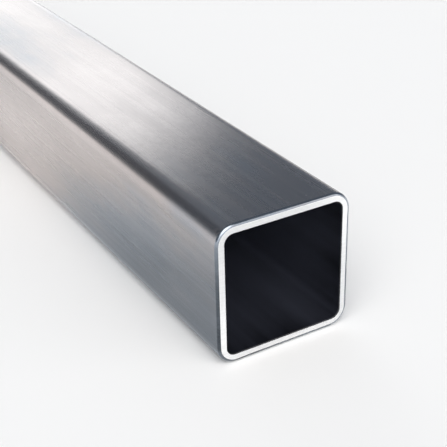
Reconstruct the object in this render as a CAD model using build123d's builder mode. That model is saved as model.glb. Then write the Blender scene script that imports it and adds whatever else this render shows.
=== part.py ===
from build123d import *
from math import sqrt
import os

# Square steel tube: one straight length of cold-formed hollow section, open at both ends.
# Units are millimetres. X runs along the tube and Z is up. The origin lies on the floor,
# under the middle of the tube, so the tube rests on the plane Z = 0.

# Section. Rolling the strip round a bend stretches it, so the wall is thinner at a corner.
side = 50.0  # outside width and height
wall = 3.2  # thickness of the four flats
outer_corner_radius = 6.8
corner_thinning = 0.07  # share of the wall that is lost, measured across a corner's middle

# Cut length, and the dressing of the two sawn ends.
length = 1000.0
outer_edge_round = 1.2  # radius filed and brushed onto the outer edge of each end
inner_edge_break = 0.3  # burr taken off the bore's edge, at 45 degrees

# A corner of radius r stays r * (sqrt(2) - 1) short of the sharp corner, on the diagonal.
# This inner radius, about 3 mm, leaves the thinned wall between the two corners there.
inner_corner_radius = outer_corner_radius - wall * (1 + corner_thinning / (sqrt(2) - 1))
bore_width = side - 2 * wall

# A thinner wall is dressed less, so that half of its thickness stays as the flat end ring.
end_radius = min(outer_edge_round, 0.4 * wall)
end_chamfer = min(inner_edge_break, 0.1 * wall)

section_plane = Plane(
    origin=(-length / 2, 0, side / 2),
    x_dir=(0, 1, 0),
    z_dir=(1, 0, 0),
)

with BuildPart() as square_tube:
    # The hollow section, drawn on the plane of the -X end and run along to the +X end.
    with BuildSketch(section_plane):
        RectangleRounded(side, side, outer_corner_radius)
        RectangleRounded(bore_width, bore_width, inner_corner_radius, mode=Mode.SUBTRACT)
    extrude(amount=length)

    # Each end face is a square ring. Its outer loop is rounded over, and its inner loop,
    # at the mouth of the bore, has only its burr removed.
    end_faces = square_tube.faces().filter_by(Axis.X)
    outer_loops = [face.outer_wire() for face in end_faces]
    bore_loops = [loop for face in end_faces for loop in face.inner_wires()]
    fillet([edge for loop in outer_loops for edge in loop.edges()], radius=end_radius)
    chamfer([edge for loop in bore_loops for edge in loop.edges()], length=end_chamfer)

square_tube.part.label = "square_tube"

os.makedirs("parts", exist_ok=True)
export_step(square_tube.part, "parts/square_tube.step")
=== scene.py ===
"""Finishes a square steel tube and lights it on a pale studio floor."""

import math

import bpy
from mathutils import Matrix, Vector


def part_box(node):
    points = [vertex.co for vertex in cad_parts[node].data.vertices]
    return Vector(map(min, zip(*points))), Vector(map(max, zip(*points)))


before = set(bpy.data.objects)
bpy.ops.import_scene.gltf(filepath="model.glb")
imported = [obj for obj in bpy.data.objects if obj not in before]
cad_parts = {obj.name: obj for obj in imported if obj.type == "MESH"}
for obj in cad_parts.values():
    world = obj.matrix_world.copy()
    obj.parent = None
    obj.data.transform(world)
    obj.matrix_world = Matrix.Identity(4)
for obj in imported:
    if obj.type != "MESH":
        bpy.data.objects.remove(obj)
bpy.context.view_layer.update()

bl_info = {
    "name": "Square Steel Tube",
    "version": (1, 0, 0),
    "blender": (4, 5, 0),
    "location": "3D View > Sidebar > Steel Tube",
    "description": "Finishes a square steel tube and builds a pale studio round it",
    "category": "Object",
}

NODE = "square_tube"
LOWEST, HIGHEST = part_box(NODE)
HALF_LENGTH = HIGHEST.x
MID_HEIGHT = (LOWEST.z + HIGHEST.z) / 2
HALF_SIDE = HIGHEST.y
WALL = 0.0032  # metres, like every length here
CORNER_RADIUS = 0.0068  # of the outside
BORE_SLACK = 0.0004  # how far past the bore its dark scale may reach
CORNER_FADE = 0.0018  # over which a corner's burnish, and its painted highlight, set in

# An end's dressing is widest where the height above the tube's axis exceeds Y by this, so at the top and the
# -Y side, and narrowest where it falls short of Y by as much. The bright end colour reaching further round
# the end edge on the top and the -Y side is a painted highlight.
HIGHLIGHT_SIDE_BLEND = 0.012
BAND_FULL = 0.6  # the part of an end band's width, from the tube's end, over which it is full
NOISE_MIDDLE = (0.25, 0.75)  # the part of a noise's range that nearly all of it keeps to
SAW_LINES = (300.0, 60.0, 3000.0)  # how finely a cut end is scored, along each axis
BRUSHING = 0.85  # anisotropy of steel that is brushed lengthwise
RELIEF = 0.00008  # how far a surface stands out where its height is 1

# What each grain and mask adds, where it is 1, to the shade, warmth, roughness and height of the skin, the
# mill scale and a cut end.
# The Corner share lightens the rolled corners: a painted highlight. Their smaller roughness is the burnish.
# The Edge share darkens the rounded end edges, and SKIN_WARMTH cools them: painted shade.
SKIN_SHADE = {"Fine": 0.05, "Broad": 0.06, "Cloud": 0.07, "Corner": 0.2, "Edge": -0.25}
# Through the drift, the skin's tint turns cool where it is dark and warm where it is light: painted
# reflection. The clouds' share is the steel's own mottled tone. The Edge share cools the end edges along
# with their painted shade.
SKIN_WARMTH = {"Painted Reflection Drift": 1.0, "Cloud": 0.5, "Edge": -0.8}
SKIN_ROUGHNESS = {"Broad": 0.03, "Cloud": -0.02, "Corner": -0.02, "Edge": -0.1}
SKIN_HEIGHT = {"Broad": 0.12, "Fine": 0.015, "Cloud": 0.4}
# The Mouth share darkens the bore towards its mouths, where light falls in, and leaves it paler deep inside,
# where little light reaches: painted light that evens out the bore.
SCALE_SHADE = {"Broad": 0.06, "Cloud": 0.08, "Mouth": -0.86}
SCALE_ROUGHNESS = {"Cloud": 0.06}
SCALE_HEIGHT = {"Cloud": 1.0, "Broad": 0.3}
CUT_SHADE = {"Lines": 0.05}
CUT_ROUGHNESS = {"Lines": 0.06}
CUT_HEIGHT = {"Lines": 0.02}

SCALE_BLUR = 0.45  # roughness of the mill scale, before the grain's part
CUT_BLUR = 0.42  # roughness of a cut end, before its lines' part
STEEL_METALLIC = 1.0
SCALE_METALLIC = 0.15  # mill scale is oxide
COOL_TINT = (0.88, 0.99, 1.115, 1.0)
WARM_TINT = (1.085, 0.985, 0.94, 1.0)
WARMTH_SPREAD = (-1.1, 0.5)  # the warmth at which the skin takes the cool tint, and the warm one

# Where the studio's window, skylight and dark panel lie, as azimuths from -X towards +Y and elevations,
# and the angles from their middles over which they fade out, all in degrees.
WINDOW_HEADING = (12.0, 12.5)
WINDOW_FADE = (15.5, 21.5)
SKYLIGHT_HEADING = (-150.0, 54.0)
SKYLIGHT_FADE = (26.0, 37.0)
DARK_PANEL_HEADING = (-27.0, 22.0)
DARK_PANEL_FADE = (8.0, 19.0)
WALL_TOP_FADE = (1.5, 7.0)  # elevations over which the walls give way to the ceiling

# Where the room changes on a sphere of radius 1 round the tube.
DIM_SIDE_FADE = (-0.05, 0.45)  # along Y, from the pale side to the dim one
REFLECTOR_FADE = (0.3, 0.5)  # along X, from the rest of the room to the reflector

FLOOR_ROUGHNESS = 0.9
FLOOR_SPECULAR = 0.1
SENSOR_WIDTH = 36.0  # millimetres
NEAR_CLIP = 0.01


# ---------------------------------------------------------------- node helpers


class Sheet:
    """One node tree, with short calls to add nodes and join them."""

    def __init__(self, tree):
        self.tree = tree
        self.nodes = tree.nodes
        self.links = tree.links

    def add(self, kind, inputs=None, **settings):
        """A node of that kind; inputs are values, or output sockets to link."""
        node = self.nodes.new(kind)
        for name, value in settings.items():
            setattr(node, name, value)
        for key, value in (inputs or {}).items():
            self.feed(node.inputs[key], value)
        return node

    def feed(self, socket, value):
        if isinstance(value, bpy.types.NodeSocket):
            self.links.new(value, socket)
        else:
            socket.default_value = value

    def math(self, operation, first, second=0.0, third=0.0):
        node = self.add("ShaderNodeMath", {0: first, 1: second, 2: third}, operation=operation)
        return node.outputs[0]

    def ramp(self, value, low, high, to_low=0.0, to_high=1.0, smooth=True):
        """value from low to high, turned into to_low to to_high."""
        node = self.add(
            "ShaderNodeMapRange",
            {"Value": value, "From Min": low, "From Max": high, "To Min": to_low, "To Max": to_high},
            interpolation_type="SMOOTHSTEP" if smooth else "LINEAR",
        )
        return node.outputs["Result"]

    def layered(self, base, masks, shares):
        """The base, with each named mask's share added to it."""
        total = base
        for name, share in shares.items():
            total = self.math("MULTIPLY_ADD", masks[name], share, total)
        return total

    def value(self, number):
        """A number, as an output socket."""
        node = self.add("ShaderNodeValue")
        node.outputs[0].default_value = number
        return node.outputs[0]

    def grey(self, value):
        return self.add("ShaderNodeCombineColor", {0: value, 1: value, 2: value}).outputs[0]

    def mix_value(self, share, first, second):
        node = self.add("ShaderNodeMix", data_type="FLOAT")
        self.feed(node.inputs[0], share)
        self.feed(node.inputs[2], first)
        self.feed(node.inputs[3], second)
        return node.outputs[0]

    def mix_colour(self, share, first, second, blend="MIX"):
        node = self.add("ShaderNodeMix", data_type="RGBA", blend_type=blend)
        self.feed(node.inputs[0], share)
        self.feed(node.inputs[6], first)
        self.feed(node.inputs[7], second)
        return node.outputs[2]

    def place(self, vector, scale, offset=(0.0, 0.0, 0.0)):
        """The vector, scaled and moved."""
        node = self.add("ShaderNodeMapping", {"Vector": vector, "Location": offset, "Scale": scale})
        return node.outputs[0]

    def noise(self, vector, scale, detail=2.0, roughness=0.5):
        node = self.add(
            "ShaderNodeTexNoise",
            {"Vector": vector, "Scale": scale, "Detail": detail, "Roughness": roughness},
        )
        return node.outputs[0]

    def swing(self, noise):
        """A noise, spread out to run from about -1 to 1."""
        return self.ramp(noise, *NOISE_MIDDLE, -1.0, 1.0, smooth=False)


def new_group(name, inputs, outputs):
    """A shader node group with float inputs {name: default} and the named float outputs."""
    tree = bpy.data.node_groups.new(name, "ShaderNodeTree")
    for label, default in inputs.items():
        socket = tree.interface.new_socket(label, in_out="INPUT", socket_type="NodeSocketFloat")
        socket.default_value = default
    for label in outputs:
        tree.interface.new_socket(label, in_out="OUTPUT", socket_type="NodeSocketFloat")
    sheet = Sheet(tree)
    return sheet, sheet.add("NodeGroupInput"), sheet.add("NodeGroupOutput")


def use_group(sheet, group, values=None):
    node = sheet.add("ShaderNodeGroup", node_tree=group)
    for name, value in (values or {}).items():
        sheet.feed(node.inputs[name], value)
    return node


# ---------------------------------------------------------------- shared effects


def tube_zones():
    """Masks for the cut ends, the bore, its mouths, the rolled corners and the rounded end edges."""
    sheet, given, out = new_group(
        "Tube zones",
        {
            "Half Length": 0.5,
            "Mid Height": 0.025,
            "Bore Limit": 0.022,
            "Plain Dressing": 0.000005,
            "Highlighted Dressing": 0.00007,
            "Edge Round": 0.0012,
            "Mouth Depth": 0.06,
            "Corner Start": 0.018,
            "Corner Full": 0.02,
        },
        ["End", "Bore", "Corner", "Edge", "Mouth"],
    )
    place = sheet.add("ShaderNodeTexCoord").outputs["Object"]
    axes = sheet.add("ShaderNodeSeparateXYZ", {0: place})
    half_length = given.outputs["Half Length"]
    from_middle = sheet.math("ABSOLUTE", axes.outputs["X"])

    def end_band(width):
        """1 at the tube's ends, and 0 beyond that width from them."""
        start = sheet.math("SUBTRACT", half_length, width)
        full = sheet.math("MULTIPLY_ADD", width, -BAND_FULL, half_length)
        return sheet.ramp(from_middle, start, full)

    above = sheet.math("SUBTRACT", axes.outputs["Z"], given.outputs["Mid Height"])
    # The wider band of bright end colour on the top and the -Y side is a painted highlight on the end edge.
    highlighted_side = sheet.ramp(sheet.math("SUBTRACT", above, axes.outputs["Y"]), -HIGHLIGHT_SIDE_BLEND, HIGHLIGHT_SIDE_BLEND)
    dressing_and_highlight = sheet.mix_value(highlighted_side, given.outputs["Plain Dressing"], given.outputs["Highlighted Dressing"])
    aside = sheet.math("ABSOLUTE", axes.outputs["Y"])
    height = sheet.math("ABSOLUTE", above)
    farther = sheet.math("MAXIMUM", aside, height)
    nearer = sheet.math("MINIMUM", aside, height)
    deep = sheet.math("SUBTRACT", half_length, given.outputs["Mouth Depth"])
    masks = {
        "End": end_band(dressing_and_highlight),
        "Bore": sheet.math("LESS_THAN", farther, given.outputs["Bore Limit"]),
        "Corner": sheet.ramp(nearer, given.outputs["Corner Start"], given.outputs["Corner Full"]),
        "Edge": end_band(given.outputs["Edge Round"]),
        "Mouth": sheet.ramp(from_middle, deep, half_length, smooth=False),
    }
    for name, mask in masks.items():
        sheet.feed(out.inputs[name], mask)
    return sheet.tree


def grain_and_painted_reflection():
    """Fine and broad streaks along the tube, clouds, and a slow drift that paints reflection as light and
    dark stretches along the tube, each from about -1 to 1.
    """
    sheet, given, out = new_group(
        "Grain and painted reflection",
        {"Fine Scale": 1500.0, "Broad Scale": 330.0, "Stretch": 140.0},
        ["Fine", "Broad", "Cloud", "Painted Reflection Drift"],
    )
    place = sheet.add("ShaderNodeTexCoord").outputs["Object"]
    axes = sheet.add("ShaderNodeSeparateXYZ", {0: place})
    along = sheet.math("DIVIDE", axes.outputs["X"], given.outputs["Stretch"])
    squeezed = sheet.add(
        "ShaderNodeCombineXYZ", {"X": along, "Y": axes.outputs["Y"], "Z": axes.outputs["Z"]}
    ).outputs[0]
    clouded = sheet.place(place, scale=(22.0, 60.0, 60.0), offset=(3.0, 8.0, 5.0))
    # The drift's place and scale put its light and dark stretches where the tube's reflections fall: painted
    # reflection, with little of the steel's own tone.
    drifting = sheet.place(place, scale=(5.8, 18.1, 18.1), offset=(21.5, 12.1, 39.8))
    patches = {
        "Fine": sheet.noise(squeezed, given.outputs["Fine Scale"], detail=2.0, roughness=0.6),
        "Broad": sheet.noise(squeezed, given.outputs["Broad Scale"], detail=3.0, roughness=0.55),
        "Cloud": sheet.noise(clouded, 1.0, detail=4.0, roughness=0.55),
        "Painted Reflection Drift": sheet.noise(drifting, 1.0, detail=0.0),
    }
    for name, patch in patches.items():
        sheet.feed(out.inputs[name], sheet.swing(patch))
    return sheet.tree


def shared_group(name, build):
    return bpy.data.node_groups.get(name) or build()


# ---------------------------------------------------------------- settings


class TubeFinish(bpy.types.PropertyGroup):
    """Colours and gloss of the steel."""

    skin_colour: bpy.props.FloatVectorProperty(
        name="Skin Colour", description="Drawn outside faces", subtype="COLOR",
        size=3, min=0.0, max=1.0, default=(0.399, 0.402, 0.411),
    )
    skin_roughness: bpy.props.FloatProperty(
        name="Skin Roughness", description="Blur of what the outside mirrors",
        subtype="FACTOR", min=0.0, max=1.0, default=0.27,
    )
    # The drift paints reflection into the skin's colour, as light and dark stretches along the tube.
    painted_reflection_drift: bpy.props.FloatProperty(
        name="Shade Drift", description="How far the skin's shade drifts along the tube",
        subtype="FACTOR", min=0.0, max=0.6, default=0.5,
    )
    end_colour: bpy.props.FloatVectorProperty(
        name="End Colour", description="Freshly dressed cut ends", subtype="COLOR",
        size=3, min=0.0, max=1.0, default=(0.935, 0.94, 0.945),
    )
    # The bore colour is paler deep inside and darker towards the mouths: painted light that evens out the
    # light falling into the bore.
    bore_colour: bpy.props.FloatVectorProperty(
        name="Bore Colour", description="Mill scale deep inside the tube, darker towards the mouths",
        subtype="COLOR", size=3, min=0.0, max=1.0, default=(0.09, 0.098, 0.136),
    )


class TubeStudio(bpy.types.PropertyGroup):
    """The floor, the lights and the camera."""

    floor_colour: bpy.props.FloatVectorProperty(
        name="Floor Colour", description="Pale floor", subtype="COLOR",
        size=3, min=0.0, max=1.0, default=(0.95, 0.95, 0.95),
    )
    floor_radius: bpy.props.FloatProperty(
        name="Floor Reach", description="Reach of the floor round the tube",
        unit="LENGTH", min=1.0, default=40.0,
    )
    wall_colour: bpy.props.FloatVectorProperty(
        name="Wall Colour", description="Low pale walls, on the -Y side", subtype="COLOR",
        size=3, min=0.0, soft_max=2.0, default=(1.65, 1.628, 1.595),
    )
    dim_wall_colour: bpy.props.FloatVectorProperty(
        name="Dim Wall Colour", description="Low walls, on the +Y side", subtype="COLOR",
        size=3, min=0.0, soft_max=2.0, default=(0.143, 0.154, 0.176),
    )
    ceiling_colour: bpy.props.FloatVectorProperty(
        name="Ceiling Colour", description="Dim room above the walls, on the -Y side", subtype="COLOR",
        size=3, min=0.0, soft_max=2.0, default=(0.165, 0.1892, 0.22),
    )
    dim_ceiling_colour: bpy.props.FloatVectorProperty(
        name="Dim Ceiling Colour", description="Dim room above the walls, on the +Y side", subtype="COLOR",
        size=3, min=0.0, soft_max=2.0, default=(0.1518, 0.1826, 0.2255),
    )
    dark_panel_colour: bpy.props.FloatVectorProperty(
        name="Dark Panel Colour", description="Panel that the rolled corner mirrors as a dark line",
        subtype="COLOR", size=3, min=0.0, soft_max=2.0, default=(0.065, 0.073, 0.088),
    )
    skylight_colour: bpy.props.FloatVectorProperty(
        name="Skylight Colour", description="Broad soft light high beyond the +X end, on the -Y side",
        subtype="COLOR", size=3, min=0.0, soft_max=4.0, default=(2.99, 2.93, 2.86),
    )
    reflector_colour: bpy.props.FloatVectorProperty(
        name="Reflector Colour", description="Pale part of the room beyond the +X end", subtype="COLOR",
        size=3, min=0.0, soft_max=2.0, default=(1.3, 1.3, 1.31),
    )
    window_colour: bpy.props.FloatVectorProperty(
        name="Window Colour", description="Wide window beyond the -X end", subtype="COLOR",
        size=3, min=0.0, soft_max=4.0, default=(1.683, 1.749, 1.782),
    )
    lens: bpy.props.FloatProperty(
        name="Lens", description="Focal length in millimetres on a 36 mm wide sensor",
        min=10.0, default=85.0,
    )
    camera_place: bpy.props.FloatVectorProperty(
        name="Camera Place", description="Where the camera stands", subtype="TRANSLATION",
        unit="LENGTH", size=3, default=(0.7387, -0.1605, 0.2001),
    )
    camera_aim: bpy.props.FloatVectorProperty(
        name="Camera Aim", description="Point that the camera looks at", subtype="TRANSLATION",
        unit="LENGTH", size=3, default=(0.5102, -0.0280, 0.0578),
    )
    camera_roll: bpy.props.FloatProperty(
        name="Camera Roll", description="Tilt of the camera about its own axis",
        subtype="ANGLE", default=math.radians(-1.545),
    )


# ---------------------------------------------------------------- operators


class TUBE_OT_finish(bpy.types.Operator):
    """Give the tube its drawn skin, bright ends and dark bore"""

    bl_idname = "tube.finish"
    bl_label = "Finish Tube"

    def execute(self, context):
        look = context.scene.tube_finish
        material = bpy.data.materials.new("Drawn steel")
        material.use_nodes = True
        sheet = Sheet(material.node_tree)
        sheet.nodes.clear()
        zones = use_group(
            sheet, shared_group("Tube zones", tube_zones),
            {
                "Half Length": HALF_LENGTH,
                "Mid Height": MID_HEIGHT,
                "Bore Limit": HALF_SIDE - WALL + BORE_SLACK,
                "Corner Start": HALF_SIDE - CORNER_RADIUS,
                "Corner Full": HALF_SIDE - CORNER_RADIUS + CORNER_FADE,
            },
        )
        grain_and_reflection = use_group(sheet, shared_group("Grain and painted reflection", grain_and_painted_reflection))
        masks = {socket.name: socket for socket in (*zones.outputs, *grain_and_reflection.outputs)}

        skin = self.skin(sheet, look, masks)
        scale = self.mill_scale(sheet, look, masks)
        dressed = self.dressed_end(sheet, look)
        surface = [self.blend(sheet, masks["Bore"], outer, inner) for outer, inner in zip(skin, scale)]
        surface = [self.blend(sheet, masks["End"], side, cut) for side, cut in zip(surface, dressed)]
        colour, roughness, metallic, height = surface
        bump = sheet.add("ShaderNodeBump", {"Height": height, "Distance": RELIEF, "Strength": 1.0})
        tangent = sheet.add("ShaderNodeTangent", direction_type="RADIAL", axis="X")
        shader = sheet.add(
            "ShaderNodeBsdfPrincipled",
            {
                "Base Color": colour,
                "Roughness": roughness,
                "Metallic": metallic,
                "Anisotropic": BRUSHING,
                "Tangent": tangent.outputs[0],
                "Normal": bump.outputs[0],
            },
        )
        sheet.add("ShaderNodeOutputMaterial", {"Surface": shader.outputs[0]})
        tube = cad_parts[NODE]
        tube.material_slots[0].material = material
        return {"FINISHED"}

    def blend(self, sheet, share, first, second):
        """Mixes two colours, or two values."""
        is_colour = isinstance(first, bpy.types.NodeSocketColor)
        return (sheet.mix_colour if is_colour else sheet.mix_value)(share, first, second)

    def shaded(self, sheet, colour, shade):
        """The colour, made lighter or darker by the shade."""
        return sheet.mix_colour(1.0, colour, sheet.grey(shade), "MULTIPLY")

    def skin(self, sheet, look, masks):
        """Colour, roughness, metallic and height of the drawn outside."""
        # The drift's share lightens and darkens the skin as painted reflection.
        shade = sheet.layered(1.0, masks, {"Painted Reflection Drift": look.painted_reflection_drift, **SKIN_SHADE})
        warmth = sheet.layered(0.0, masks, SKIN_WARMTH)
        tint = sheet.mix_colour(sheet.ramp(warmth, *WARMTH_SPREAD), COOL_TINT, WARM_TINT)
        colour = sheet.mix_colour(1.0, tint, (*look.skin_colour, 1), "MULTIPLY")
        roughness = sheet.layered(look.skin_roughness, masks, SKIN_ROUGHNESS)
        height = sheet.layered(0.0, masks, SKIN_HEIGHT)
        return self.shaded(sheet, colour, shade), roughness, sheet.value(STEEL_METALLIC), height

    def mill_scale(self, sheet, look, masks):
        """Colour, roughness, metallic and height of the bore."""
        colour = self.shaded(sheet, (*look.bore_colour, 1), sheet.layered(1.0, masks, SCALE_SHADE))
        roughness = sheet.layered(SCALE_BLUR, masks, SCALE_ROUGHNESS)
        height = sheet.layered(0.0, masks, SCALE_HEIGHT)
        return colour, roughness, sheet.value(SCALE_METALLIC), height

    def dressed_end(self, sheet, look):
        """Colour, roughness, metallic and height of a cut end, with fine lines left by the saw."""
        place = sheet.add("ShaderNodeTexCoord").outputs["Object"]
        scored = sheet.place(place, scale=SAW_LINES)
        masks = {"Lines": sheet.swing(sheet.noise(scored, 1.0, detail=2.0, roughness=0.6))}
        colour = self.shaded(sheet, (*look.end_colour, 1), sheet.layered(1.0, masks, CUT_SHADE))
        roughness = sheet.layered(CUT_BLUR, masks, CUT_ROUGHNESS)
        height = sheet.layered(0.0, masks, CUT_HEIGHT)
        return colour, roughness, sheet.value(STEEL_METALLIC), height


def heading(azimuth, elevation):
    """A direction by its angle from -X towards +Y, and its height above the floor, in degrees."""
    turn, rise = math.radians(azimuth), math.radians(elevation)
    return (-math.cos(turn) * math.cos(rise), math.sin(turn) * math.cos(rise), math.sin(rise))


class TUBE_OT_studio(bpy.types.Operator):
    """Build the floor, the lights and the camera"""

    bl_idname = "tube.studio"
    bl_label = "Build Studio"

    def execute(self, context):
        studio = context.scene.tube_studio
        scene = context.scene
        scene.view_settings.view_transform = "Standard"
        self.floor(studio)
        self.room(scene, studio)
        self.camera(scene, studio)
        return {"FINISHED"}

    def floor(self, studio):
        mesh = bpy.data.meshes.new("studio_floor")
        reach = studio.floor_radius
        mesh.from_pydata(
            [(-reach, -reach, 0), (reach, -reach, 0), (reach, reach, 0), (-reach, reach, 0)],
            [], [(0, 1, 2, 3)],
        )
        floor = bpy.data.objects.new("studio_floor", mesh)
        bpy.context.scene.collection.objects.link(floor)
        material = bpy.data.materials.new("Pale floor")
        material.use_nodes = True
        shader = material.node_tree.nodes["Principled BSDF"]
        shader.inputs["Base Color"].default_value = (*studio.floor_colour, 1)
        shader.inputs["Roughness"].default_value = FLOOR_ROUGHNESS
        shader.inputs["Specular IOR Level"].default_value = FLOOR_SPECULAR
        mesh.materials.append(material)

    def room(self, scene, studio):
        """A dim room: low pale walls, a skylight, a dark panel, a window and a reflector."""
        world = bpy.data.worlds.new("Studio room")
        world.use_nodes = True
        sheet = Sheet(world.node_tree)
        sheet.nodes.clear()
        toward = sheet.add("ShaderNodeTexCoord").outputs["Generated"]
        axes = sheet.add("ShaderNodeSeparateXYZ", {0: toward}).outputs
        side = sheet.ramp(axes["Y"], *DIM_SIDE_FADE)
        low_part = sheet.mix_colour(side, (*studio.wall_colour, 1), (*studio.dim_wall_colour, 1))
        high_part = sheet.mix_colour(side, (*studio.ceiling_colour, 1), (*studio.dim_ceiling_colour, 1))
        dark = self.patch(sheet, toward, DARK_PANEL_HEADING, DARK_PANEL_FADE)
        high_part = sheet.mix_colour(dark, high_part, (*studio.dark_panel_colour, 1))
        low, high = (math.sin(math.radians(angle)) for angle in WALL_TOP_FADE)
        colour = sheet.mix_colour(sheet.ramp(axes["Z"], low, high), low_part, high_part)
        window = self.patch(sheet, toward, WINDOW_HEADING, WINDOW_FADE)
        colour = sheet.mix_colour(window, colour, (*studio.window_colour, 1))
        behind = sheet.ramp(axes["X"], *REFLECTOR_FADE)
        colour = sheet.mix_colour(behind, colour, (*studio.reflector_colour, 1))
        skylight = self.patch(sheet, toward, SKYLIGHT_HEADING, SKYLIGHT_FADE)
        colour = sheet.mix_colour(skylight, colour, (*studio.skylight_colour, 1))
        background = sheet.add("ShaderNodeBackground", {"Color": colour, "Strength": 1.0})
        sheet.add("ShaderNodeOutputWorld", {"Surface": background.outputs[0]})
        scene.world = world

    def patch(self, sheet, toward, middle, fade):
        """A round patch of sky: 1 in its middle, and 0 beyond its fade."""
        facing = sheet.add(
            "ShaderNodeVectorMath", {0: toward, 1: heading(*middle)}, operation="DOT_PRODUCT"
        ).outputs["Value"]
        inner, outer = (math.cos(math.radians(angle)) for angle in fade)
        return sheet.ramp(facing, outer, inner)

    def camera(self, scene, studio):
        data = bpy.data.cameras.new("camera")
        data.lens = studio.lens
        data.sensor_width = SENSOR_WIDTH
        data.clip_start = NEAR_CLIP
        camera = bpy.data.objects.new("camera", data)
        place, aim = Vector(studio.camera_place), Vector(studio.camera_aim)
        turn = (aim - place).to_track_quat("-Z", "Y").to_matrix().to_4x4()
        camera.matrix_world = Matrix.Translation(place) @ turn @ Matrix.Rotation(studio.camera_roll, 4, "Z")
        scene.collection.objects.link(camera)
        scene.camera = camera


class TUBE_PT_panel(bpy.types.Panel):
    """Lists the tube's operators and settings"""

    bl_idname = "TUBE_PT_panel"
    bl_label = "Steel Tube"
    bl_space_type = "VIEW_3D"
    bl_region_type = "UI"
    bl_category = "Steel Tube"

    def draw(self, context):
        layout = self.layout
        for settings in (context.scene.tube_finish, context.scene.tube_studio):
            for name in settings.bl_rna.properties.keys():
                if name not in {"rna_type", "name"}:
                    layout.prop(settings, name)
        layout.operator(TUBE_OT_finish.bl_idname)
        layout.operator(TUBE_OT_studio.bl_idname)


CLASSES = (TubeFinish, TubeStudio, TUBE_OT_finish, TUBE_OT_studio, TUBE_PT_panel)


def register():
    for cls in CLASSES:
        bpy.utils.register_class(cls)
    bpy.types.Scene.tube_finish = bpy.props.PointerProperty(type=TubeFinish)
    bpy.types.Scene.tube_studio = bpy.props.PointerProperty(type=TubeStudio)


def unregister():
    del bpy.types.Scene.tube_studio
    del bpy.types.Scene.tube_finish
    for cls in reversed(CLASSES):
        bpy.utils.unregister_class(cls)


def main():
    register()
    bpy.ops.tube.finish()
    bpy.ops.tube.studio()


if __name__ == "__main__":
    main()
